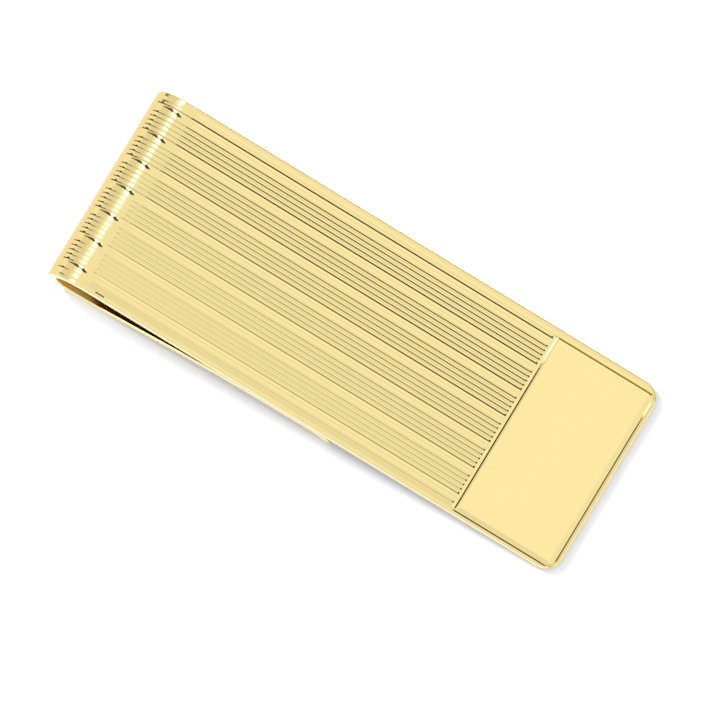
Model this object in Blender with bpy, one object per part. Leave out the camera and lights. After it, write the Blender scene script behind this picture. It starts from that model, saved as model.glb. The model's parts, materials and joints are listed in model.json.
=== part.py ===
"""Money clip: one strip of gold-plated brass, folded back on itself so that it grips folded banknotes.

The strip runs from the free end of the face plate, round a fold at the other end, and back under the plate
as a sprung leaf with a small flared lip. Its sections are separate solids: the lined face plate, the
polished engraving panel let into it, the two halves of the fold, the leaf and the lip. The lower half of
the fold, the leaf and the lip turn together about the outside of the fold when banknotes go in.

The clip is drawn in strip coordinates, u along the plate from the outside of the fold, v across it and w up
from the plate's top face. It then lies face up on z = 0, on the belly of the fold and the free end.
"""

import math

import bmesh
import bpy

MM = 0.001

# Driving dimensions, in millimetres.
LENGTH = 51.0
WIDTH = 18.9
THICKNESS = 0.85
CORNER_RADIUS = 1.25

# Fold: a shoulder bends gently out of the plate, then the fold itself turns back under it.
SHOULDER_START = 4.3
FOLD_HEIGHT = 5.2
FOLD_RADIUS = 2.05

# Leaf: a belly, a straight run up towards the plate, a counter bend to lie along it, and a flared lip.
BELLY_RADIUS = 15.0
LEAF_ANGLE = math.radians(13.6)
COUNTER_RADIUS = 45.0
CONTACT_LENGTH = 3.0
LIP_RADIUS = 1.5
LIP_ANGLE = math.radians(52.0)
LIP_TAIL = 0.55
LEAF_CLEARANCE = 0.08

# Milled lines: fine grooves between wide plain ribs, inside one border line down each long side.
LINE_PITCH = 0.446
LINES_PER_RIB = 6
LAST_LINE = 19
LINE_WIDTH = 0.16
LINE_DEPTH = 0.07
BORDER_HALF_WIDTH = 8.87
LINES_END = 40.2

# Engraving panel, let into a shallow pocket behind the free end's rim.
PANEL_START = 40.65
PANEL_END = 50.55
PANEL_CORNER_RADIUS = 0.75
POCKET_DEPTH = 0.30
PANEL_BEVEL = 0.33
PANEL_BEVEL_DROP = 0.14
PANEL_GAP = 0.05

SECTION_GAP = 0.02
ARC_STEP = math.radians(6.0)
GENTLE_STEP = math.radians(1.7)

GOLD = (0.97, 0.77, 0.36, 1.0)
GOLD_LINED = (0.95, 0.75, 0.35, 1.0)


def clear_scene():
    for old in list(bpy.data.objects):
        bpy.data.objects.remove(old, do_unlink=True)


def make_collection(name):
    collection = bpy.data.collections.new(name)
    bpy.context.scene.collection.children.link(collection)
    return collection


def make_material(name, colour, roughness):
    material = bpy.data.materials.new(name)
    material.use_nodes = True
    shader = material.node_tree.nodes["Principled BSDF"]
    shader.inputs["Base Color"].default_value = colour
    shader.inputs["Metallic"].default_value = 1.0
    shader.inputs["Roughness"].default_value = roughness
    return material


class Path:
    """The strip's middle line in the u-w plane, drawn as straight runs and arcs."""

    def __init__(self, u, w, heading):
        self.u = u
        self.w = w
        self.heading = heading
        self.stations = [(u, w, heading)]

    def forward(self, length):
        """A straight run."""
        self.u += length * math.cos(self.heading)
        self.w += length * math.sin(self.heading)
        self.stations.append((self.u, self.w, self.heading))
        return self

    def turn(self, radius, angle, step):
        """An arc, to the left for a positive angle."""
        side = 1.0 if angle > 0.0 else -1.0
        centre_u = self.u - side * radius * math.sin(self.heading)
        centre_w = self.w + side * radius * math.cos(self.heading)
        start = self.heading
        count = max(2, math.ceil(abs(angle) / step))
        for index in range(1, count + 1):
            self.heading = start + angle * index / count
            self.u = centre_u + side * radius * math.sin(self.heading)
            self.w = centre_w - side * radius * math.cos(self.heading)
            self.stations.append((self.u, self.w, self.heading))
        return self


def shoulder_bend():
    """Angle and radius of the shoulder, so that the fold's outside is at u = 0 and FOLD_HEIGHT deep."""
    half = THICKNESS / 2.0
    spare_height = FOLD_HEIGHT - THICKNESS - 2.0 * FOLD_RADIUS
    spare_length = SHOULDER_START - half - FOLD_RADIUS
    angle = 2.0 * math.atan2(spare_height, spare_length)
    radius = FOLD_RADIUS + spare_length / math.sin(angle)
    return angle, radius


def leaf_run():
    """Length of the leaf's straight run, so that its contact stretch lies just under the plate."""
    rise = FOLD_HEIGHT - 2.0 * THICKNESS - LEAF_CLEARANCE
    bends = (BELLY_RADIUS + COUNTER_RADIUS) * (1.0 - math.cos(LEAF_ANGLE))
    return (rise - bends) / math.sin(LEAF_ANGLE)


def offset_outline(stations):
    """A closed outline half the thickness to each side of a run of the middle line."""
    half = THICKNESS / 2.0
    left = []
    right = []
    for u, w, heading in stations:
        left.append((u - half * math.sin(heading), w + half * math.cos(heading)))
        right.append((u + half * math.sin(heading), w - half * math.cos(heading)))
    return right + left[::-1]


def rest_slope():
    """The plate's slope at rest, with the belly and the free end's lower edge on the floor."""
    outer_radius = BELLY_RADIUS + THICKNESS / 2.0
    centre_u = THICKNESS / 2.0 + FOLD_RADIUS
    along = LENGTH - centre_u
    below = outer_radius - FOLD_HEIGHT + THICKNESS
    return math.asin(outer_radius / math.hypot(along, below)) - math.atan2(below, along)


def rest_frame(slope):
    """The empty that holds the clip, placed so that the bounding box stands centred on the origin."""
    fold_centre = THICKNESS / 2.0 + FOLD_RADIUS
    fold_outer = FOLD_RADIUS + THICKNESS / 2.0
    first_x = fold_centre * math.cos(slope) + (fold_outer - FOLD_HEIGHT) * math.sin(slope) - fold_outer
    last_x = LENGTH * math.cos(slope)
    frame = bpy.data.objects.new("clip_frame", None)
    frame.rotation_euler = (0.0, slope, 0.0)
    frame.location = (
        -0.5 * (first_x + last_x) * MM,
        0.0,
        (LENGTH * math.sin(slope) + THICKNESS * math.cos(slope)) * MM,
    )
    bpy.context.scene.collection.objects.link(frame)
    return frame


def extruded_outline(name, points, half_depth):
    """A mesh from a closed flat outline, extruded both ways, standing in the local x-y plane."""
    curve = bpy.data.curves.new(name, "CURVE")
    curve.dimensions = "2D"
    curve.fill_mode = "BOTH"
    curve.extrude = half_depth * MM
    spline = curve.splines.new("POLY")
    spline.points.add(len(points) - 1)
    for point, (x, y) in zip(spline.points, points):
        point.co = (x * MM, y * MM, 0.0, 1.0)
    spline.use_cyclic_u = True
    drawn = bpy.data.objects.new(name + "_outline", curve)
    bpy.context.scene.collection.objects.link(drawn)
    depsgraph = bpy.context.evaluated_depsgraph_get()
    mesh = bpy.data.meshes.new_from_object(drawn.evaluated_get(depsgraph))
    mesh.name = name
    bpy.data.objects.remove(drawn, do_unlink=True)
    work = bmesh.new()
    work.from_mesh(mesh)
    bmesh.ops.remove_doubles(work, verts=work.verts, dist=0.000001)
    bmesh.ops.recalc_face_normals(work, faces=work.faces)
    work.to_mesh(mesh)
    work.free()
    mesh.materials.clear()
    return mesh


def add_part(name, mesh, material, collection, parent):
    part = bpy.data.objects.new(name, mesh)
    collection.objects.link(part)
    part.parent = parent
    mesh.materials.append(material)
    mesh.shade_smooth()
    mesh.set_sharp_from_angle(angle=math.radians(30.0))
    return part


def strip_section(name, stations, material, collection, parent, pivot):
    """A length of the strip: its side outline in the u-w plane, extruded across the width.

    The outline is drawn in local x-y and stood up by a quarter turn about x. pivot is the parent's place
    in u and w, which the points are measured from.
    """
    outline = [(u - pivot[0], w - pivot[1]) for u, w in offset_outline(stations)]
    mesh = extruded_outline(name, outline, WIDTH / 2.0)
    part = add_part(name, mesh, material, collection, parent)
    part.rotation_euler = (math.radians(90.0), 0.0, 0.0)
    return part


def plan_outline(start, end, half_width, corner_radius):
    """A plan outline in u and v: square at the start, with two rounded corners at the end."""
    points = [(start, -half_width)]
    for side in (-1.0, 1.0):
        for index in range(7):
            swing = math.radians(15.0 * index)
            ahead = math.sin(swing) if side < 0.0 else math.cos(swing)
            aside = math.cos(swing) if side < 0.0 else math.sin(swing)
            u = end - corner_radius + corner_radius * ahead
            v = side * (half_width - corner_radius + corner_radius * aside)
            points.append((u, v))
    points.append((start, half_width))
    return points


def hide_cutter(cutter):
    cutter.hide_render = True
    cutter.display_type = "WIRE"


def add_cut(part, cutter):
    cut = part.modifiers.new(cutter.name, "BOOLEAN")
    cut.operation = "DIFFERENCE"
    cut.solver = "EXACT"
    cut.object = cutter


def line_positions():
    """Where the lines lie across the width: none on the wide ribs, and one border line on each side."""
    fine = [index * LINE_PITCH for index in range(-LAST_LINE, LAST_LINE + 1) if index % LINES_PER_RIB]
    return [-BORDER_HALF_WIDTH] + fine + [BORDER_HALF_WIDTH]


def line_cutters(start, collection, parent):
    """Long three-sided prisms, one edge down, that cut the lines from the plate's top face."""
    work = bmesh.new()
    over = 0.05
    spread = LINE_WIDTH / 2.0 * (LINE_DEPTH + over) / LINE_DEPTH
    for position in line_positions():
        section = ((position - spread, over), (position, -LINE_DEPTH), (position + spread, over))
        near = [work.verts.new((start * MM, v * MM, w * MM)) for v, w in section]
        far = [work.verts.new((LINES_END * MM, v * MM, w * MM)) for v, w in section]
        work.faces.new(near)
        work.faces.new(far[::-1])
        for index in range(3):
            after = (index + 1) % 3
            work.faces.new((near[index], far[index], far[after], near[after]))
    bmesh.ops.recalc_face_normals(work, faces=work.faces)
    mesh = bpy.data.meshes.new("line_cutters")
    work.to_mesh(mesh)
    work.free()
    cutter = bpy.data.objects.new("line_cutters", mesh)
    collection.objects.link(cutter)
    cutter.parent = parent
    hide_cutter(cutter)
    return cutter


def pocket_cutter(collection, parent):
    """The shallow pocket that the engraving panel lies in."""
    depth = POCKET_DEPTH + 0.05
    outline = plan_outline(PANEL_START, PANEL_END, BORDER_HALF_WIDTH, PANEL_CORNER_RADIUS)
    cutter = bpy.data.objects.new("panel_pocket", extruded_outline("panel_pocket", outline, depth / 2.0))
    collection.objects.link(cutter)
    cutter.parent = parent
    cutter.location = (0.0, 0.0, (depth / 2.0 - POCKET_DEPTH) * MM)
    hide_cutter(cutter)
    return cutter


def face_plate(material, collection, cutters, parent):
    start = SHOULDER_START + SECTION_GAP
    outline = plan_outline(start, LENGTH, WIDTH / 2.0, CORNER_RADIUS)
    mesh = extruded_outline("face_plate", outline, THICKNESS / 2.0)
    plate = add_part("face_plate", mesh, material, collection, parent)
    plate.location = (0.0, 0.0, -THICKNESS / 2.0 * MM)
    add_cut(plate, line_cutters(start - 0.5, cutters, parent))
    add_cut(plate, pocket_cutter(cutters, parent))
    return plate


def engraving_panel(material, collection, parent):
    """A thin plate that fills its pocket, with a bevel sloping down to the border all round."""
    bevel_foot = POCKET_DEPTH - SECTION_GAP - PANEL_BEVEL_DROP
    outline = plan_outline(
        PANEL_START + PANEL_GAP,
        PANEL_END - PANEL_GAP,
        BORDER_HALF_WIDTH - PANEL_GAP,
        PANEL_CORNER_RADIUS - PANEL_GAP,
    )
    mesh = extruded_outline("engraving_panel", outline, bevel_foot / 2.0)
    work = bmesh.new()
    work.from_mesh(mesh)
    top = [face for face in work.faces if face.normal.z > 0.5]
    bmesh.ops.inset_region(
        work,
        faces=top,
        thickness=PANEL_BEVEL * MM,
        depth=PANEL_BEVEL_DROP * MM,
        use_even_offset=True,
    )
    work.to_mesh(mesh)
    work.free()
    panel = add_part("engraving_panel", mesh, material, collection, parent)
    panel.location = (0.0, 0.0, (bevel_foot / 2.0 + SECTION_GAP - POCKET_DEPTH) * MM)
    return panel


def trimmed(stations):
    """The stations of one section, with the first drawn in by the gap to the section before it."""
    u, w, heading = stations[0]
    first = (u + SECTION_GAP * math.cos(heading), w + SECTION_GAP * math.sin(heading), heading)
    return [first] + stations[1:]


def strip_sections():
    """The stations of each section behind the face plate, by name, from the shoulder to the lip's tip."""
    shoulder_angle, shoulder_radius = shoulder_bend()
    path = Path(SHOULDER_START, -THICKNESS / 2.0, math.pi)
    path.turn(shoulder_radius, shoulder_angle, GENTLE_STEP)
    path.turn(FOLD_RADIUS, math.pi / 2.0 - shoulder_angle, ARC_STEP)
    apex = len(path.stations)
    path.turn(FOLD_RADIUS, math.pi / 2.0, ARC_STEP)
    path.turn(BELLY_RADIUS, LEAF_ANGLE, GENTLE_STEP)
    belly = len(path.stations)
    path.forward(leaf_run())
    path.turn(COUNTER_RADIUS, -LEAF_ANGLE, GENTLE_STEP)
    path.forward(CONTACT_LENGTH)
    lip = len(path.stations)
    path.turn(LIP_RADIUS, -LIP_ANGLE, 2.0 * ARC_STEP)
    path.forward(LIP_TAIL)
    stations = path.stations
    return {
        "fold_upper": stations[:apex],
        "fold_lower": trimmed(stations[apex - 1:belly]),
        "back_leaf": trimmed(stations[belly - 1:lip]),
        "leaf_lip": trimmed(stations[lip - 1:]),
    }


def leaf_hinge(parent, pivot):
    """The empty on the leaf's axis, which runs along the outside of the fold."""
    hinge = bpy.data.objects.new("leaf_hinge", None)
    hinge.location = (pivot[0] * MM, 0.0, pivot[1] * MM)
    hinge.parent = parent
    bpy.context.scene.collection.objects.link(hinge)
    return hinge


def build():
    clear_scene()
    clip = make_collection("money_clip")
    cutters = make_collection("cutters")
    polished = make_material("gold_polished", GOLD, 0.12)
    lined = make_material("gold_lined", GOLD_LINED, 0.22)
    frame = rest_frame(rest_slope())

    face_plate(lined, clip, cutters, frame)
    engraving_panel(polished, clip, frame)

    sections = strip_sections()
    strip_section("fold_upper", sections["fold_upper"], lined, clip, frame, (0.0, 0.0))
    pivot = (0.0, FOLD_RADIUS + THICKNESS / 2.0 - FOLD_HEIGHT)
    hinge = leaf_hinge(frame, pivot)
    strip_section("fold_lower", sections["fold_lower"], lined, clip, hinge, pivot)
    strip_section("back_leaf", sections["back_leaf"], polished, clip, hinge, pivot)
    strip_section("leaf_lip", sections["leaf_lip"], polished, clip, hinge, pivot)


build()
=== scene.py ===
"""Looks for the gold money clip: a strip swept with its milled lines, the bevelled panel and the sprung leaf.

The strip is drawn in its own coordinates: u along the plate from the outside of the fold, v across it and
w up from the plate's top face. They are turned into the frame's coordinates by the engraving face's mount
and the leaf's hinge. Lengths are in millimetres until a mesh is made.
"""

import json
import math

import bmesh
import bpy
from mathutils import Matrix, Vector


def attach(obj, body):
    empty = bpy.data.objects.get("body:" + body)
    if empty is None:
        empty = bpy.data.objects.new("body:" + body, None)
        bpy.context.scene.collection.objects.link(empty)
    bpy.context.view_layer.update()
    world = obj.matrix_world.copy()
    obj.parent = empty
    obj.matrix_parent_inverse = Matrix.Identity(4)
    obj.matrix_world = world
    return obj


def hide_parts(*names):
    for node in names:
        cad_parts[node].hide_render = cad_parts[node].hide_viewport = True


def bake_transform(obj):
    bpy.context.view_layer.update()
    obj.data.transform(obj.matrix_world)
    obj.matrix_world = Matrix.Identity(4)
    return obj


MM = 0.001
# Lengths closer than this are taken as the same. It also keeps a division finite.
TINY = 1e-4
# Vertices closer than this are merged, in metres.
WELD = 0.5e-6

# The strip, as in the CAD model.
LENGTH = 51.0
WIDTH = 18.9
THICKNESS = 0.85
SHOULDER_START = 4.3
FOLD_HEIGHT = 5.2
FOLD_RADIUS = 2.05
BELLY_RADIUS = 15.0
LEAF_ANGLE = math.radians(13.6)
COUNTER_RADIUS = 45.0
CONTACT_LENGTH = 3.0
LIP_RADIUS = 1.5
LIP_ANGLE = math.radians(52.0)
LIP_TAIL = 0.55
LEAF_CLEARANCE = 0.08
# The plate's corners, which are rounder than the CAD model's.
CORNER_RADIUS = 1.65

# Milled lines: their pitch, how often a rib takes the place of one, and the last one's number to each side.
LINE_PITCH = 0.446
LINES_PER_RIB = 6
LAST_LINE = 19
# A land is flat, then has a small step up, then is flat again: its rise, and its place in the land.
LAND_RISE = 0.018
LAND_STEP = (0.38, 0.64)
# The rib between two groups of lines: its height at its far side, and how much lower its middle is.
RIB_RISE = 0.023
RIB_DROP = 0.003
# Each milled line is a V: its depth, and the widths of its far wall and its near wall.
FINE_LINE = (0.030, 0.10, 0.055)
RIB_LINE = (0.042, 0.13, 0.08)
# The fine lines are this much nearer than an even pitch would put them.
FINE_SHIFT = 0.015
# A line's bottom is further than this below its sides.
LINE_DROP = 0.01
# Both border lines, each as the positions of its far brim, its bottom and its near brim.
FAR_BORDER = (8.84, 8.78, 8.635)
NEAR_BORDER = (-8.93, -9.05, -9.17)
BORDER_DEPTH = 0.068
# The border lines' share of their depth along the lined face; at the panel they have all of it.
BORDER_SHARE = 0.60
# A stretch of the near border line, just past the shoulder, that is painted dark.
BORDER_MARK = (4.33, 5.22)
# The lines end here: they run out over a short slope, and before it a short stretch of their walls is painted
# dark, a painted dark reflection.
LINES_END = 40.38
RUN_OUT = 0.07
DARK_LINE_ENDS = 0.15
PLATE_SPANS = 6
# Where the lines cross the shoulder they are shallow: the ends of that stretch, the lengths over which
# they fade at each end, and their share of depth in it.
SHALLOW_START = 1.1
SHALLOW_END = 4.3
SHALLOW_START_FADE = 0.3
SHALLOW_END_FADE = 1.9
SHALLOW_SHARE = 0.7
# The nick in each rib's middle where it crosses the shoulder, as (u, offset across, half its width).
# On the fold the nicks' walls are painted dark: a painted dark reflection.
NICK = (
    (0.95, 0.14, 0.02),
    (1.40, 0.15, 0.065),
    (1.75, 0.15, 0.115),
    (1.93, 0.12, 0.09),
    (2.05, 0.06, 0.04),
    (2.28, 0.05, 0.045),
    (2.40, 0.06, 0.125),
    (2.52, 0.05, 0.165),
    (2.64, 0.02, 0.12),
    (2.88, -0.05, 0.02),
)
NICK_DEPTH = 0.05
# Where the lines turn down over the fold their walls are painted dark, a painted dark reflection: the far one
# from the first u to the second, and both from there to the third.
TICK = (0.40, 0.64, 0.88)
# The lines run out over this many of the belly's last stations.
FOLD_RUN_OUT_STATIONS = 6

# The pocket that the engraving panel lies in, and its wall towards the lines, from brim to foot.
POCKET_DEPTH = 0.30
POCKET_START = 40.66
POCKET_FOOT = 40.785
# The seam round the panel is a V, deepest at the free end. Its rows, down from the pocket's brim and up the
# panel, are each given as far side, end and near side, and each of these as (distance, height): a side's
# distance is across the strip and the end's is along it.
END_DEPTH = 0.108
POCKET_BRIM = ((8.84, 0.0), (50.85, 0.0), (9.17, 0.0))
POCKET_BOTTOM = ((8.78, -BORDER_DEPTH), (50.665, -END_DEPTH), (9.05, -BORDER_DEPTH))
PANEL_EDGE = ((8.637, -0.001), (50.555, -0.055), (9.01, -0.05))
PANEL_CREST = ((8.635, 0.0), (50.10, 0.0), (8.62, 0.0))
# How far each row reaches from the centres of the plate's corners.
BRIM_REACH = 1.49
BOTTOM_REACH = 1.42
EDGE_REACH = 1.40
CREST_REACH = 1.25
CORNER_STEPS = 18
# Where the panel's rows start: its crest, its edge and its bottom.
PANEL_START = (40.925, 40.92, 40.795)
# The clearances beside the panel's bottom and below it.
SEAM = 0.01
PANEL_FLOOR_GAP = 0.02

# Small roundings on the strip's edges and at the leaf's tip.
EDGE_RADIUS = 0.13
EDGE_STEPS = 4
TIP_STEPS = 4
# A narrow band beside the rounding, which keeps the shading of the flat inner side even.
EDGE_SUPPORT = 0.03

# How the camera is tipped towards the plate's near edge and leant along it, and rolled.
CAMERA_TILT = math.radians(10.5)
CAMERA_LEAN = math.radians(1.0)
CAMERA_ROLL = math.radians(31.33)
CAMERA_LENS = 1000.0
SENSOR = 36.0
# The width that it sees, and how far it aims beside the plate's middle.
VIEW_WIDTH = 62.5
AIM_RIGHT = 0.24
AIM_DOWN = 2.56

# Where the shoulder reflects the strip card, and how far its surface is tilted there.
GLINT_U = 2.12
GLINT_TILT = math.radians(13.6)

# The strip card's distance from there and its size.
STRIP_REACH = 320.0
STRIP_WIDTH = 29.0
STRIP_LENGTH = 250.0

# The cards along the far side: their y, top and ends in x, and the heights between which they brighten.
FAR_CARD_Y = 35.0
FAR_CARD_TOP = 34.0
FAR_CARD_X = (-24.0, 80.0)
PALE_CARD_X = (-120.0, -24.5)
FAR_CARD_FADE = (17.5, 29.0)
# The cards past the free end: their x, their heights, and the y where dark meets bright at the foot and top.
END_CARD_X = 80.0
END_CARD_BAND = (27.0, 48.0)
END_CARD_REACH = 60.0
END_CARD_SPLIT = (16.6, 27.6)
# The card past the fold.
LEFT_CARD_X = -120.0
LEFT_CARD_BAND = (40.0, 160.0)
LEFT_CARD_REACH = 200.0
# The papers on the floor beside the fold, as (low x, high x, low y, high y), and their height.
PAPER = (-74.0, -25.8, -90.0, 60.0)
PAPER_FAR = (-300.0, -74.0, -200.0, 200.0)
PAPER_HEIGHT = 0.05

# The cards' radiance at the low and the high end of FAR_CARD_FADE; all but the far cards are even.
FAR_LIGHT = (0.02, 0.78)
PALE_LIGHT = (0.22, 0.62)
LEFT_LIGHT = (0.80, 0.80)
END_LIGHT = (0.04, 0.04)
GLINT_LIGHT = (3.0, 3.0)
PAPER_LIGHT = (0.95, 0.95)
PAPER_FAR_LIGHT = (0.96, 0.96)
STRIP_LIGHT = (2.7, 2.7)

# The white tent has a brighter window, and is dimmer where the photograph's camera stands. Each of these is
# full within the first angle from its middle, and has faded at the second, in degrees.
TENT_LIGHT = 0.92
WINDOW_LIGHT = 1.0
WINDOW = (3.5, 6.5)
SHADE_SHARE = 0.91
SHADE = (7.0, 18.0)

# The lights for the floor: the key's direction, distance and size, and the fill's place and size, in metres,
# with their power in watts.
KEY_TOWARD = (-1.10, 0.11, 1.0)
KEY_REACH = 0.6
KEY_SIZE = 0.17
KEY_POWER = 2.7
FILL_PLACE = (0.0, -0.15, 0.6)
FILL_SIZE = 1.0
FILL_POWER = 1.35

# Colours.
WHITE = (1.0, 1.0, 1.0, 1.0)
GOLD = (0.985, 0.815, 0.372, 1.0)
# The painted dark reflections' darkest and palest colours.
PAINTED_DARK_DEEP = (0.012, 0.007, 0.004, 1.0)
PAINTED_DARK_PALE = (0.065, 0.036, 0.014, 1.0)
# The inside's gold, and a deeper orange in the fold, painted light from bounces between the gold faces.
INSIDE_PALE = (0.985, 0.78, 0.33, 1.0)
INSIDE_PAINTED_BOUNCE = (1.0, 0.60, 0.17, 1.0)
# The painted shade's brown, further in from the strip's sides.
INSIDE_PAINTED_SHADE = (0.36, 0.165, 0.06, 1.0)
FLOOR = (0.83, 0.85, 0.90, 1.0)
WARM_WHITE = (1.0, 0.97, 0.92, 1.0)
PAPER_TINT = (1.0, 0.93, 0.84, 1.0)
PAPER_FAR_TINT = (1.0, 0.91, 0.80, 1.0)

# The inside is dull in the fold and polished past it: both roughnesses, and where the change starts and ends.
DULL = 0.9
BRIGHT = 0.12
DULLING = (1.0, 5.0)
# The inside's painted shade, darker further in from the strip's sides, starts and is full at these distances
# from them.
INSIDE_SHADE_SPAN = (0.46, 0.74)

# The materials' places on a piece, after the outside's gold: first the dark colour painted for dark
# reflections, then the inside.
PAINTED_DARK_INDEX = 1
INSIDE_INDEX = 2

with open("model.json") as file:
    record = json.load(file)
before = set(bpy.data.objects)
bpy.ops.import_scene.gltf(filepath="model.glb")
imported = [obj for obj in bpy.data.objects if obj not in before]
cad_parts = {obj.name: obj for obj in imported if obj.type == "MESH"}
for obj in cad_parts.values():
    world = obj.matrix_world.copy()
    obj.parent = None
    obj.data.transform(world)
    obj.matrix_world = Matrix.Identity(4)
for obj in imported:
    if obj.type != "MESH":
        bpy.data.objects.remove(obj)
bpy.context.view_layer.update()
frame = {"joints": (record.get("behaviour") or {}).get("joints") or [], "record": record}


def strip_axes():
    """The strip's origin and its u, v and w directions in the frame, from the panel's mount and the hinge."""
    mounts = {mount["name"]: mount for mount in frame["record"]["mounts"]}
    face = mounts["engraving_face"]
    w_axis = Vector(face["axis"]).normalized()
    v_axis = Vector((0.0, 1.0, 0.0))
    u_axis = v_axis.cross(w_axis).normalized()
    hinge = Vector(frame["joints"][0]["pos_m"])
    height = (Vector(face["pos_m"]) - hinge).dot(w_axis)
    return hinge + height * w_axis, u_axis, v_axis, w_axis


ORIGIN, U_AXIS, V_AXIS, W_AXIS = strip_axes()


def place(u, v, w):
    """A point of the strip, in the frame's metres."""
    return ORIGIN + (u * U_AXIS + v * V_AXIS + w * W_AXIS) * MM


# ---------------------------------------------------------------- the strip's middle line


class Path:
    """The strip's middle line in the u-w plane, drawn as straight runs and arcs."""

    def __init__(self, u, w, heading):
        self.u = u
        self.w = w
        self.heading = heading
        self.stations = [(u, w, heading)]

    def forward(self, length, count=1):
        for _ in range(count):
            self.u += length / count * math.cos(self.heading)
            self.w += length / count * math.sin(self.heading)
            self.stations.append((self.u, self.w, self.heading))
        return self

    def turn(self, radius, angle, step_degrees):
        """An arc, to the left for a positive angle."""
        side = 1.0 if angle > 0.0 else -1.0
        centre_u = self.u - side * radius * math.sin(self.heading)
        centre_w = self.w + side * radius * math.cos(self.heading)
        start = self.heading
        count = max(2, math.ceil(abs(math.degrees(angle)) / step_degrees))
        for index in range(1, count + 1):
            self.heading = start + angle * index / count
            self.u = centre_u + side * radius * math.sin(self.heading)
            self.w = centre_w - side * radius * math.cos(self.heading)
            self.stations.append((self.u, self.w, self.heading))
        return self


def shoulder_bend():
    """Angle and radius of the shoulder, so that the fold's outside is at u = 0 and FOLD_HEIGHT deep."""
    spare_height = FOLD_HEIGHT - THICKNESS - 2.0 * FOLD_RADIUS
    spare_length = SHOULDER_START - THICKNESS / 2.0 - FOLD_RADIUS
    angle = 2.0 * math.atan2(spare_height, spare_length)
    return angle, FOLD_RADIUS + spare_length / math.sin(angle)


def fold_stations():
    """From the shoulder, round the fold, to the end of the belly."""
    angle, radius = shoulder_bend()
    path = Path(SHOULDER_START, -THICKNESS / 2.0, math.pi)
    path.turn(radius, angle, step_degrees=0.6)
    path.turn(FOLD_RADIUS, math.pi - angle, step_degrees=2.0)
    path.turn(BELLY_RADIUS, LEAF_ANGLE, step_degrees=0.6)
    return path.stations


def leaf_stations():
    """From the belly's end, along the plate's underside, to the lip's tip."""
    rise = FOLD_HEIGHT - 2.0 * THICKNESS - LEAF_CLEARANCE
    bends = (BELLY_RADIUS + COUNTER_RADIUS) * (1.0 - math.cos(LEAF_ANGLE))
    run = (rise - bends) / math.sin(LEAF_ANGLE)
    path = Path(*fold_stations()[-1])
    path.forward(run, count=4)
    path.turn(COUNTER_RADIUS, -LEAF_ANGLE, step_degrees=0.4)
    path.forward(CONTACT_LENGTH, count=2)
    path.turn(LIP_RADIUS, -LIP_ANGLE, step_degrees=2.5)
    path.forward(LIP_TAIL, count=2)
    return path.stations


# ---------------------------------------------------------------- the strip's cross-section


def smooth(value):
    """An S-curve from 0 to 1."""
    value = min(1.0, max(0.0, value))
    return value * value * (3.0 - 2.0 * value)


def nick_at(u):
    """(offset across, half width) of the nick in a rib's middle at u, or at the nick's nearer end past it."""
    if u <= NICK[0][0]:
        return NICK[0][1:]
    for (start, first, first_half), (end, second, second_half) in zip(NICK, NICK[1:]):
        if u <= end:
            share = (u - start) / (end - start)
            return first + (second - first) * share, first_half + (second_half - first_half) * share
    return NICK[-1][1:]


def is_nicked(u):
    return NICK[0][0] < u < NICK[-1][0]


def top_columns(u=LENGTH):
    """Points across the lined face, from the far edge to the near one, each as (v, line, border).

    line is the height that the milled lines and ribs give, which fades out where they end, and border the
    height that the border line gives, which doesn't. Between two lines the land steps up a little towards
    the far side. In place of every sixth line there is a rib: its near half rises and its far half is flat,
    with a nick between them across the shoulder.
    """
    columns = []
    offset, half = nick_at(u)
    drop = NICK_DEPTH if is_nicked(u) else RIB_DROP
    for index in range(-LAST_LINE, LAST_LINE + 1):
        centre = index * LINE_PITCH
        if index % LINES_PER_RIB == 0:
            columns.append((centre + offset - half, RIB_RISE - RIB_DROP, 0.0))
            columns.append((centre + offset, RIB_RISE - drop, 0.0))
            columns.append((centre + offset + half, RIB_RISE, 0.0))
            continue
        beside_rib = index % LINES_PER_RIB == 1
        depth, far_wall, near_wall = RIB_LINE if beside_rib else FINE_LINE
        if not beside_rib:
            centre -= FINE_SHIFT
        columns.append((centre - far_wall, RIB_RISE if beside_rib else LAND_RISE, 0.0))
        columns.append((centre, -depth, 0.0))
        start = centre + near_wall
        columns.append((start, 0.0, 0.0))
        if index % LINES_PER_RIB < LINES_PER_RIB - 1 and index < LAST_LINE:
            width = LINE_PITCH - near_wall - FINE_LINE[1] - (FINE_SHIFT if beside_rib else 0.0)
            columns.append((start + LAND_STEP[0] * width, 0.0, 0.0))
            columns.append((start + LAND_STEP[1] * width, LAND_RISE, 0.0))
    for far_brim, bottom, near_brim in (FAR_BORDER, NEAR_BORDER):
        columns.append((far_brim, 0.0, 0.0))
        columns.append((bottom, 0.0, -BORDER_DEPTH))
        columns.append((near_brim, 0.0, 0.0))
    for side in (-1.0, 1.0):
        columns.append((side * (WIDTH / 2.0 - EDGE_RADIUS), 0.0, 0.0))
    return sorted(columns, reverse=True)


def edge_round(side):
    """The quarter round at a top corner of the cross-section, going outwards, as (v, depth)."""
    points = []
    for index in range(1, EDGE_STEPS + 1):
        swing = math.pi / 2.0 * index / EDGE_STEPS
        v = side * (WIDTH / 2.0 - EDGE_RADIUS + EDGE_RADIUS * math.sin(swing))
        points.append((v, EDGE_RADIUS * (1.0 - math.cos(swing))))
    return points


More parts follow.
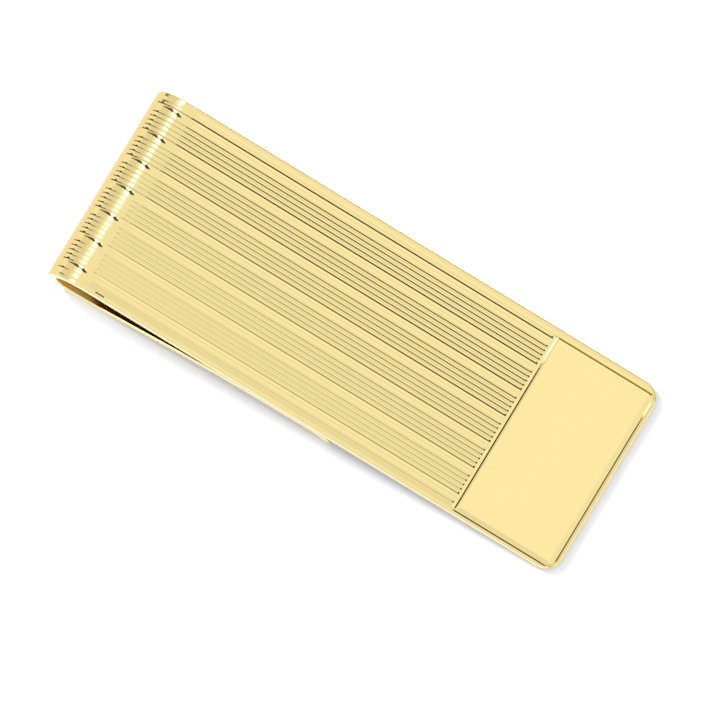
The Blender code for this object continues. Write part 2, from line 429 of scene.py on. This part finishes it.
def cross_section(columns, share=1.0, border_share=1.0):
    """A closed loop of (v, height above the face), with the lines and borders at a share of their height."""
    near = edge_round(-1.0)
    far = edge_round(1.0)
    flat = WIDTH / 2.0 - EDGE_RADIUS
    loop = [(v, line * share + border * border_share) for v, line, border in columns]
    loop += [(v, -down) for v, down in near]
    loop += [(v, down - THICKNESS) for v, down in near[::-1]]
    loop += [(v, -THICKNESS) for v in (-flat, EDGE_SUPPORT - flat, flat - EDGE_SUPPORT, flat)]
    loop += [(v, down - THICKNESS) for v, down in far]
    loop += [(v, -down) for v, down in far[::-1]]
    return loop


def ring(work, station, loop):
    """One cross-section's vertices at a station of the middle line."""
    u, w, heading = station
    rise = THICKNESS / 2.0
    vertices = []
    for v, height in loop:
        out = rise + height
        point = place(u + out * math.sin(heading), v, w - out * math.cos(heading))
        vertices.append(work.verts.new(point))
    return vertices


def bridge(work, first, second, closed=True, painted_dark_reflection=(), inside=()):
    """Faces between two rows of vertices; the two index sets hold the faces painted dark, a painted dark
    reflection, and the inside's faces, which take other materials.
    """
    count = len(first)
    for index in range(count if closed else count - 1):
        after = (index + 1) % count
        face = work.faces.new((first[index], first[after], second[after], second[index]))
        if index in painted_dark_reflection:
            face.material_index = PAINTED_DARK_INDEX
        elif index in inside:
            face.material_index = INSIDE_INDEX


def inner_side(columns):
    """The indices of the three faces that are the cross-section's flat inner side."""
    start = len(columns) + 2 * len(edge_round(1.0))
    return range(start, start + 3)


def line_walls(columns):
    """The indices of the faces that are the milled lines' walls."""
    walls = set()
    for index in range(1, len(columns) - 1):
        before, here, after = (columns[index + step][1] for step in (-1, 0, 1))
        if here < min(before, after) - LINE_DROP:
            walls.update((index - 1, index))
    return walls


def nick_walls(columns):
    """The indices of the faces that are the walls of the nicks in the ribs' middles."""
    walls = set()
    for index, (_, height, _) in enumerate(columns):
        if height == RIB_RISE - NICK_DEPTH:
            walls.update((index - 1, index))
    return walls


def finish_mesh(work, name, sharp_degrees=18.0):
    """A closed, outward-facing mesh object from a bmesh, smooth but for its sharp edges."""
    bmesh.ops.remove_doubles(work, verts=work.verts, dist=WELD)
    bmesh.ops.recalc_face_normals(work, faces=work.faces)
    mesh = bpy.data.meshes.new(name)
    work.to_mesh(mesh)
    work.free()
    mesh.shade_smooth()
    mesh.set_sharp_from_angle(angle=math.radians(sharp_degrees))
    piece = bpy.data.objects.new(name, mesh)
    bpy.context.scene.collection.objects.link(piece)
    return piece


# ---------------------------------------------------------------- face plate and panel


def corner_reach(swing, to_side, to_end, reach):
    """How far a row is from the corner's centre at a swing from the side to the end."""
    return min(reach, to_side / max(math.cos(swing), TINY), to_end / max(math.sin(swing), TINY))


def plan_row(start, sides, reach):
    """An open row of (u, v, w) round the free end, from the far side's start to the near side's.

    sides gives the far side, the end and the near side, each as (distance, height). The row goes no further
    than reach from the centres of the plate's rounded corners.
    """
    (far, far_height), (end, end_height), (near, near_height) = sides
    centre_u = LENGTH - CORNER_RADIUS
    centre_v = WIDTH / 2.0 - CORNER_RADIUS
    row = [(start, far, far_height)]
    for index in range(CORNER_STEPS + 1):
        swing = math.pi / 2.0 * index / CORNER_STEPS
        away = corner_reach(swing, far - centre_v, end - centre_u, reach)
        height = far_height + (end_height - far_height) * index / CORNER_STEPS
        row.append((centre_u + away * math.sin(swing), centre_v + away * math.cos(swing), height))
    for index in range(CORNER_STEPS + 1):
        swing = math.pi / 2.0 * (1.0 - index / CORNER_STEPS)
        away = corner_reach(swing, near - centre_v, end - centre_u, reach)
        height = end_height + (near_height - end_height) * index / CORNER_STEPS
        row.append((centre_u + away * math.sin(swing), -centre_v - away * math.cos(swing), height))
    row.append((start, -near, near_height))
    return row


def level(sides, height):
    """The same sides, all at one height."""
    return tuple((distance, height) for distance, _ in sides)


def row_vertices(work, row):
    return [work.verts.new(place(u, v, w)) for u, v, w in row]


def face_plate():
    """The plate: the lined face, then the end block with the pocket that the panel lies in."""
    work = bmesh.new()
    columns = top_columns()
    stations = plate_stations()
    rings = []
    for u, share, border_share in stations:
        loop = cross_section(columns, share, border_share)
        rings.append(ring(work, (u, -THICKNESS / 2.0, math.pi), loop))
    sunk = [(v, 0.0, -BORDER_DEPTH if in_pocket(v) else border) for v, _, border in columns]
    rings.append(ring(work, (POCKET_FOOT, -THICKNESS / 2.0, math.pi), cross_section(sunk)))
    walls = line_walls(columns)
    mark = [index for index, (v, _, _) in enumerate(columns) if v == NEAR_BORDER[1]]
    for (u, _, _), first, second in zip(stations, rings, rings[1:]):
        # Just before the lines end, their walls are painted dark: a painted dark reflection.
        dark = walls if LINES_END - DARK_LINE_ENDS - TINY < u < LINES_END - TINY else ()
        # The border's mark is painted dark.
        if u == BORDER_MARK[0]:
            dark = mark
        bridge(work, first, second, painted_dark_reflection=dark, inside=inner_side(columns))
    work.faces.new(rings[0])

    rows = [
        row_vertices(work, plan_row(POCKET_FOOT, level(POCKET_BOTTOM, -POCKET_DEPTH), BOTTOM_REACH)),
        row_vertices(work, plan_row(POCKET_FOOT, POCKET_BOTTOM, BOTTOM_REACH)),
        row_vertices(work, plan_row(POCKET_FOOT, POCKET_BRIM, BRIM_REACH)),
    ]
    rounds = [(WIDTH / 2.0 - v, -down) for v, down in edge_round(1.0)]
    outside = [(EDGE_RADIUS, 0.0)] + rounds
    outside += [(inset, -THICKNESS - down) for inset, down in rounds[::-1]]
    outside += [(EDGE_RADIUS, -THICKNESS), (EDGE_RADIUS + EDGE_SUPPORT, -THICKNESS)]
    for inset, height in outside:
        side = (WIDTH / 2.0 - inset, height)
        sides = (side, (LENGTH - inset, height), side)
        rows.append(row_vertices(work, plan_row(POCKET_FOOT, sides, CORNER_RADIUS - inset)))
    for first, second in zip(rows, rows[1:]):
        bridge(work, first, second, closed=False)
    work.faces.new(rows[0])
    work.faces.new(rows[-1])
    wall = [vertex for vertex, (v, _, _) in zip(rings[-1], columns) if in_pocket(v)]
    work.faces.new(wall + [rows[0][-1], rows[0][0]])
    return finish_mesh(work, "face_plate_lined")


def in_pocket(v):
    return NEAR_BORDER[1] - TINY < v < FAR_BORDER[1] + TINY


def plate_stations():
    """(u, share of the lines' depth, share of the borders') from the shoulder to the pocket's edge."""
    mark_start, mark_end = BORDER_MARK
    dark_ends_start = LINES_END - DARK_LINE_ENDS
    stations = [(SHOULDER_START, 1.0, BORDER_SHARE), (mark_start, 1.0, BORDER_SHARE)]
    for index in range(PLATE_SPANS + 1):
        stations.append((mark_end + (dark_ends_start - mark_end) * index / PLATE_SPANS, 1.0, BORDER_SHARE))
    stations.append((LINES_END - RUN_OUT, 1.0, BORDER_SHARE))
    stations.append((LINES_END, 0.0, BORDER_SHARE))
    stations.append((POCKET_START, 0.0, 1.0))
    return stations


def engraving_panel():
    """The polished panel: it slopes into the seam all round, past a shallow bevel at its end and near side.

    Each row has one more point at its start, where the near side's bevel begins.
    """
    work = bmesh.new()
    toe = tuple((distance - SEAM, height) for distance, height in POCKET_BOTTOM)
    levels = [
        (PANEL_START[2], level(toe, PANEL_FLOOR_GAP - POCKET_DEPTH), BOTTOM_REACH - SEAM),
        (PANEL_START[2], toe, BOTTOM_REACH - SEAM),
        (PANEL_START[1], PANEL_EDGE, EDGE_REACH),
        (PANEL_START[0], PANEL_CREST, CREST_REACH),
    ]
    rows = []
    for start, sides, reach in levels:
        row = plan_row(start, sides, reach)
        row.append((start, -PANEL_CREST[2][0], row[0][2]))
        rows.append(row_vertices(work, row))
    for first, second in zip(rows, rows[1:]):
        bridge(work, first, second)
    work.faces.new(rows[0])
    work.faces.new(rows[-1])
    return finish_mesh(work, "engraving_panel_polished", sharp_degrees=6.0)


# ---------------------------------------------------------------- fold and leaf


def shoulder_share(u):
    """The lines' share of their depth at u on the top of the shoulder and the fold."""
    shallow = smooth((SHALLOW_END - u) / SHALLOW_END_FADE) * smooth((u - SHALLOW_START) / SHALLOW_START_FADE)
    return 1.0 - (1.0 - SHALLOW_SHARE) * shallow


def fold():
    """The shoulder, fold and belly, with the lines running round it and ending on the belly."""
    work = bmesh.new()
    stations = fold_stations()
    rings = []
    outer = []
    for index, (u, w, heading) in enumerate(stations):
        on_top = w > -FOLD_HEIGHT / 2.0
        surface = u + THICKNESS / 2.0 * math.sin(heading) if on_top else 0.0
        outer.append(surface)
        to_end = (len(stations) - 1 - index) / FOLD_RUN_OUT_STATIONS
        share = smooth(to_end) * shoulder_share(surface)
        columns = top_columns(surface)
        rings.append(ring(work, (u, w, heading), cross_section(columns, share, BORDER_SHARE)))
    nicks = nick_walls(top_columns(NICK[1][0]))
    walls = line_walls(top_columns())
    far_walls = {index for index in walls if index + 1 not in walls}
    for first, second, start, end in zip(rings, rings[1:], outer, outer[1:]):
        middle = (start + end) / 2.0
        # The nicks' walls are painted dark: a painted dark reflection.
        dark = nicks if is_nicked(start) and is_nicked(end) else ()
        # Where the lines turn down, their walls are painted dark: a painted dark reflection.
        if TICK[0] < middle < TICK[2]:
            dark = far_walls if middle < TICK[1] else walls
        bridge(work, first, second, painted_dark_reflection=dark, inside=inner_side(columns))
    work.faces.new(rings[0])
    work.faces.new(rings[-1])
    return finish_mesh(work, "fold_lined")


def plain_columns():
    """The same edge and border as the lined face, without the lines."""
    return [column for column in top_columns() if abs(column[0]) > FAR_BORDER[2] - TINY]


def drawn_in(loop, inset):
    """A cross-section's loop drawn in towards the strip's middle by inset, in height and across."""
    middle = -THICKNESS / 2.0
    moved = []
    for v, height in loop:
        room = abs(height - middle)
        lowered = middle + math.copysign(max(0.0, room - inset), height - middle)
        moved.append((math.copysign(abs(v) - inset, v), lowered))
    return moved


def leaf():
    """The leaf and its lip, whose tip is rounded."""
    work = bmesh.new()
    stations = leaf_stations()
    tip_u, tip_w, tip_heading = stations.pop()
    last_u, last_w, _ = stations[-1]
    tail = math.hypot(tip_u - last_u, tip_w - last_w)
    columns = plain_columns()
    loop = cross_section(columns)
    rings = [ring(work, station, loop) for station in stations]
    for index in range(1, TIP_STEPS + 1):
        swing = math.pi / 2.0 * index / TIP_STEPS
        inset = EDGE_RADIUS * (1.0 - math.cos(swing))
        back = EDGE_RADIUS * (1.0 - math.sin(swing))
        share = 1.0 - back / tail
        station = (last_u + (tip_u - last_u) * share, last_w + (tip_w - last_w) * share, tip_heading)
        rings.append(ring(work, station, drawn_in(loop, inset)))
    for first, second in zip(rings, rings[1:]):
        bridge(work, first, second, inside=inner_side(columns))
    work.faces.new(rings[0])
    work.faces.new(rings[-1])
    return finish_mesh(work, "back_leaf_polished")


# ---------------------------------------------------------------- materials


def new_material(name):
    """A material with its nodes and links."""
    material = bpy.data.materials.new(name)
    material.use_nodes = True
    return material, material.node_tree.nodes, material.node_tree.links


def gold(name, roughness, spread):
    """Polished gold plate: fine hairlines in its roughness, and a faint unevenness in the polish."""
    material, nodes, links = new_material(name)
    shader = nodes["Principled BSDF"]
    shader.inputs["Base Color"].default_value = GOLD
    shader.inputs["Metallic"].default_value = 1.0

    place_in = nodes.new("ShaderNodeTexCoord")
    hairlines = nodes.new("ShaderNodeMapping")
    hairlines.inputs["Scale"].default_value = (120.0, 9000.0, 9000.0)
    links.new(place_in.outputs["Object"], hairlines.inputs["Vector"])
    brushing = nodes.new("ShaderNodeTexNoise")
    brushing.inputs["Scale"].default_value = 1.0
    brushing.inputs["Detail"].default_value = 3.0
    links.new(hairlines.outputs["Vector"], brushing.inputs["Vector"])

    polish = nodes.new("ShaderNodeMapRange")
    polish.inputs["To Min"].default_value = roughness - spread
    polish.inputs["To Max"].default_value = roughness + spread
    links.new(brushing.outputs["Fac"], polish.inputs["Value"])
    links.new(polish.outputs["Result"], shader.inputs["Roughness"])

    swell = nodes.new("ShaderNodeTexNoise")
    swell.inputs["Scale"].default_value = 260.0
    swell.inputs["Detail"].default_value = 1.0
    links.new(place_in.outputs["Object"], swell.inputs["Vector"])
    bump = nodes.new("ShaderNodeBump")
    bump.inputs["Strength"].default_value = 0.15
    bump.inputs["Distance"].default_value = 0.00001
    links.new(swell.outputs["Fac"], bump.inputs["Height"])
    links.new(bump.outputs["Normal"], shader.inputs["Normal"])
    return material


def painted_dark_reflection():
    """Painted dark reflections: a dark, grainy colour in the nicks, in the lines' ends and turns, and on the
    border's painted dark mark.
    """
    material, nodes, links = new_material("painted_dark_reflections")
    shader = nodes["Principled BSDF"]
    shader.inputs["Roughness"].default_value = 0.55
    grain = nodes.new("ShaderNodeTexNoise")
    grain.inputs["Scale"].default_value = 9000.0
    tone = nodes.new("ShaderNodeValToRGB")
    tone.color_ramp.elements[0].color = PAINTED_DARK_DEEP
    tone.color_ramp.elements[1].color = PAINTED_DARK_PALE
    links.new(grain.outputs["Fac"], tone.inputs["Fac"])
    links.new(tone.outputs["Color"], shader.inputs["Base Color"])
    return material


def gold_inside():
    """The inside of the clip: duller in the fold with a deeper orange there, painted light from bounces, and
    darker brown painted shade further in from the strip's sides.
    """
    material, nodes, links = new_material("gold_inside")
    shader = nodes["Principled BSDF"]
    shader.inputs["Metallic"].default_value = 1.0
    place_on = nodes.new("ShaderNodeTexCoord")
    split = nodes.new("ShaderNodeSeparateXYZ")
    links.new(place_on.outputs["Object"], split.inputs["Vector"])
    dulling = nodes.new("ShaderNodeMapRange")
    dulling.inputs["From Min"].default_value = place(DULLING[0], 0.0, 0.0).x
    dulling.inputs["From Max"].default_value = place(DULLING[1], 0.0, 0.0).x
    dulling.inputs["To Min"].default_value = DULL
    dulling.inputs["To Max"].default_value = BRIGHT
    links.new(split.outputs["X"], dulling.inputs["Value"])
    links.new(dulling.outputs["Result"], shader.inputs["Roughness"])
    # Deeper orange where it is dull: painted light from bounces between the gold faces in the fold.
    tone = nodes.new("ShaderNodeValToRGB")
    tone.color_ramp.elements[0].position = BRIGHT
    tone.color_ramp.elements[0].color = INSIDE_PALE
    tone.color_ramp.elements[1].position = DULL
    tone.color_ramp.elements[1].color = INSIDE_PAINTED_BOUNCE
    links.new(dulling.outputs["Result"], tone.inputs["Fac"])

    # Painted shade: a dark brown further in from the strip's sides.
    across = nodes.new("ShaderNodeMath")
    across.operation = "ABSOLUTE"
    links.new(split.outputs["Y"], across.inputs[0])
    depth = nodes.new("ShaderNodeMapRange")
    depth.inputs["From Min"].default_value = (WIDTH / 2.0 - INSIDE_SHADE_SPAN[0]) * MM
    depth.inputs["From Max"].default_value = (WIDTH / 2.0 - INSIDE_SHADE_SPAN[1]) * MM
    links.new(across.outputs["Value"], depth.inputs["Value"])
    painted_shade = nodes.new("ShaderNodeMix")
    painted_shade.data_type = "RGBA"
    painted_shade.inputs["B"].default_value = INSIDE_PAINTED_SHADE
    links.new(depth.outputs["Result"], painted_shade.inputs["Factor"])
    links.new(tone.outputs["Color"], painted_shade.inputs["A"])
    links.new(painted_shade.outputs["Result"], shader.inputs["Base Color"])
    return material


def glow(name, low, high, tint=WHITE):
    """A card's light: it changes from low to high radiance between the heights of FAR_CARD_FADE."""
    material, nodes, links = new_material(name)
    nodes.remove(nodes["Principled BSDF"])
    where = nodes.new("ShaderNodeNewGeometry")
    split = nodes.new("ShaderNodeSeparateXYZ")
    ramp = nodes.new("ShaderNodeMapRange")
    ramp.interpolation_type = "SMOOTHSTEP"
    ramp.inputs["From Min"].default_value = FAR_CARD_FADE[0] * MM
    ramp.inputs["From Max"].default_value = FAR_CARD_FADE[1] * MM
    ramp.inputs["To Min"].default_value = low
    ramp.inputs["To Max"].default_value = high
    light = nodes.new("ShaderNodeEmission")
    light.inputs["Color"].default_value = tint
    links.new(where.outputs["Position"], split.inputs["Vector"])
    links.new(split.outputs["Z"], ramp.inputs["Value"])
    links.new(ramp.outputs["Result"], light.inputs["Strength"])
    links.new(light.outputs["Emission"], nodes["Material Output"].inputs["Surface"])
    return material


# ---------------------------------------------------------------- studio


def view_axes():
    """The directions towards the camera, to the right and up in its picture."""
    back = math.cos(CAMERA_TILT) * W_AXIS - math.sin(CAMERA_TILT) * V_AXIS
    back = (math.cos(CAMERA_LEAN) * back - math.sin(CAMERA_LEAN) * U_AXIS).normalized()
    along = (U_AXIS - U_AXIS.dot(back) * back).normalized()
    across = back.cross(along)
    right = math.cos(CAMERA_ROLL) * along + math.sin(CAMERA_ROLL) * across
    return back, right, back.cross(right)


def mirrored(tilt):
    """The direction that the face reflects to the camera where it's tilted towards the fold."""
    back = view_axes()[0]
    normal = math.cos(tilt) * W_AXIS - math.sin(tilt) * U_AXIS
    return 2.0 * back.dot(normal) * normal - back


def floor():
    """A sheet of white paper that the clip lies on."""
    bpy.ops.mesh.primitive_plane_add(size=6.0)
    plane = bpy.context.object
    plane.name = "studio_floor"
    material, nodes, _ = new_material("paper_white")
    shader = nodes["Principled BSDF"]
    shader.inputs["Base Color"].default_value = FLOOR
    shader.inputs["Roughness"].default_value = 0.9
    shader.inputs["Specular IOR Level"].default_value = 0.0
    plane.data.materials.append(material)


def card(name, corners, material):
    """A reflector card, seen only in the metal's reflections."""
    mesh = bpy.data.meshes.new(name)
    mesh.from_pydata([tuple(corner) for corner in corners], [], [(0, 1, 2, 3)])
    mesh.materials.append(material)
    made = bpy.data.objects.new(name, mesh)
    bpy.context.scene.collection.objects.link(made)
    made.visible_camera = False
    made.visible_diffuse = False
    made.visible_shadow = False


def far_card(name, ends, light):
    """An upright card that stands on the floor along the far side."""
    start, end = ends
    corners = [(start, 0.0), (end, 0.0), (end, FAR_CARD_TOP), (start, FAR_CARD_TOP)]
    card(name, [(x * MM, FAR_CARD_Y * MM, z * MM) for x, z in corners], light)


def cross_card(name, x, band, starts, ends, light):
    """An upright card across the strip's direction, whose sides are given as (y at its foot, y at its top)."""
    foot, top = band
    corners = [(starts[0], foot), (ends[0], foot), (ends[1], top), (starts[1], top)]
    card(name, [(x * MM, y * MM, z * MM) for y, z in corners], light)


def floor_card(name, sides, light):
    """A sheet that lies on the floor."""
    low_x, high_x, low_y, high_y = sides
    corners = [(low_x, low_y), (high_x, low_y), (high_x, high_y), (low_x, high_y)]
    card(name, [(x * MM, y * MM, PAPER_HEIGHT * MM) for x, y in corners], light)


def cards():
    """The cards and papers that the metal reflects.

    The far cards and the dark end card draw the milled lines and the seams, the papers and the left card light
    the fold and the inside, and the bright strip and the glint card make the white highlights.
    """
    far_card("card_far", FAR_CARD_X, glow("card_far_light", *FAR_LIGHT))
    far_card("card_far_pale", PALE_CARD_X, glow("card_pale_light", *PALE_LIGHT))
    left = glow("card_left_light", *LEFT_LIGHT, WARM_WHITE)
    near_side = (-LEFT_CARD_REACH, -LEFT_CARD_REACH)
    far_side = (LEFT_CARD_REACH, LEFT_CARD_REACH)
    cross_card("card_left", LEFT_CARD_X, LEFT_CARD_BAND, near_side, far_side, left)

    end_dark = glow("card_end_light", *END_LIGHT)
    end_bright = glow("card_glint_light", *GLINT_LIGHT)
    near_side = (-END_CARD_REACH, -END_CARD_REACH)
    far_side = (END_CARD_REACH, END_CARD_REACH)
    cross_card("card_end", END_CARD_X, END_CARD_BAND, near_side, END_CARD_SPLIT, end_dark)
    cross_card("card_glint", END_CARD_X, END_CARD_BAND, END_CARD_SPLIT, far_side, end_bright)

    floor_card("card_paper", PAPER, glow("card_paper_light", *PAPER_LIGHT, PAPER_TINT))
    floor_card("card_paper_far", PAPER_FAR, glow("card_paper_far_light", *PAPER_FAR_LIGHT, PAPER_FAR_TINT))

    toward = mirrored(GLINT_TILT)
    across = (V_AXIS - V_AXIS.dot(toward) * toward).normalized()
    aside = across.cross(toward)
    middle = place(GLINT_U, 0.0, 0.0) + toward * STRIP_REACH * MM
    corners = []
    for side, end in ((-1.0, -1.0), (1.0, -1.0), (1.0, 1.0), (-1.0, 1.0)):
        corners.append(middle + (side * STRIP_WIDTH * aside + end * STRIP_LENGTH * across) / 2.0 * MM)
    card("card_strip", corners, glow("card_strip_light", *STRIP_LIGHT))


def disc(nodes, links, direction, centre, angles, strengths):
    """The strength of a round patch of the sky: the first of strengths in its middle, the second outside it."""
    towards = nodes.new("ShaderNodeVectorMath")
    towards.operation = "DOT_PRODUCT"
    towards.inputs[1].default_value = centre
    ramp = nodes.new("ShaderNodeMapRange")
    ramp.interpolation_type = "SMOOTHSTEP"
    ramp.inputs["From Min"].default_value = math.cos(math.radians(angles[1]))
    ramp.inputs["From Max"].default_value = math.cos(math.radians(angles[0]))
    ramp.inputs["To Min"].default_value = strengths[1]
    ramp.inputs["To Max"].default_value = strengths[0]
    links.new(direction.outputs["Generated"], towards.inputs[0])
    links.new(towards.outputs["Value"], ramp.inputs["Value"])
    return ramp.outputs["Result"]


def studio_world():
    """A white tent, with the window that the flat of the face reflects and the shade round the camera."""
    world = bpy.data.worlds.new("tent")
    world.use_nodes = True
    nodes = world.node_tree.nodes
    links = world.node_tree.links
    background = nodes["Background"]
    direction = nodes.new("ShaderNodeTexCoord")
    window = disc(nodes, links, direction, mirrored(0.0), WINDOW, (WINDOW_LIGHT, TENT_LIGHT))
    shade = disc(nodes, links, direction, view_axes()[0], SHADE, (SHADE_SHARE, 1.0))
    product = nodes.new("ShaderNodeMath")
    product.operation = "MULTIPLY"
    links.new(window, product.inputs[0])
    links.new(shade, product.inputs[1])
    links.new(product.outputs["Value"], background.inputs["Strength"])
    background.inputs["Color"].default_value = WHITE
    bpy.context.scene.world = world


def floor_light(name, size, power):
    """A square light for the floor, which the metal doesn't reflect."""
    data = bpy.data.lights.new(name, "AREA")
    data.shape = "SQUARE"
    data.size = size
    data.energy = power
    lamp = bpy.data.objects.new(name, data)
    bpy.context.scene.collection.objects.link(lamp)
    lamp.visible_glossy = False
    return lamp


def floor_lights():
    """A low light past the fold, which gives the shadow past the free end, and a soft fill from above."""
    toward = Vector(KEY_TOWARD).normalized()
    key = floor_light("key", KEY_SIZE, KEY_POWER)
    key.location = place(LENGTH / 2.0, 0.0, 0.0) + toward * KEY_REACH
    key.rotation_euler = toward.to_track_quat("Z", "Y").to_euler()
    floor_light("fill", FILL_SIZE, FILL_POWER).location = FILL_PLACE


def camera():
    """A long lens that looks down on the face plate, tipped towards its near edge and rolled."""
    back, right, up = view_axes()
    aim = place(LENGTH / 2.0, 0.0, 0.0) + (AIM_RIGHT * right - AIM_DOWN * up) * MM
    data = bpy.data.cameras.new("camera")
    data.lens = CAMERA_LENS
    data.sensor_width = SENSOR
    data.clip_start = 0.01
    data.clip_end = 20.0
    made = bpy.data.objects.new("camera", data)
    bpy.context.scene.collection.objects.link(made)
    made.location = aim + back * (VIEW_WIDTH * MM * CAMERA_LENS / SENSOR)
    made.rotation_euler = Matrix((right, up, back)).transposed().to_euler()
    bpy.context.scene.camera = made


def finish_in(piece, *materials):
    """Gives a piece its materials, in the order that the faces' indices count them."""
    for material in materials:
        piece.data.materials.append(material)


def assemble():
    """The four pieces, with their materials and the bodies they ride on."""
    polished = gold("gold_polished", roughness=0.05, spread=0.02)
    lined = gold("gold_lined", roughness=0.06, spread=0.02)
    # Painted dark reflections, for the nicks, the lines' ends and turns, and the border's mark.
    painted_dark_material = painted_dark_reflection()
    inside = gold_inside()

    plate_piece = face_plate()
    finish_in(plate_piece, lined, painted_dark_material, inside)
    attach(plate_piece, "face")
    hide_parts("face_plate")

    panel_piece = engraving_panel()
    finish_in(panel_piece, polished)
    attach(panel_piece, "face")
    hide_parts("engraving_panel")

    leaf_piece = leaf()
    finish_in(leaf_piece, polished, painted_dark_material, inside)
    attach(leaf_piece, "leaf")
    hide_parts("back_leaf", "leaf_lip")

    fold_piece = fold()
    finish_in(fold_piece, lined, painted_dark_material, inside)
    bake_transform(fold_piece)
    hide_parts("fold_upper", "fold_lower")


camera()
assemble()
floor()
cards()
studio_world()
floor_lights()
bpy.context.scene.view_settings.view_transform = "Standard"
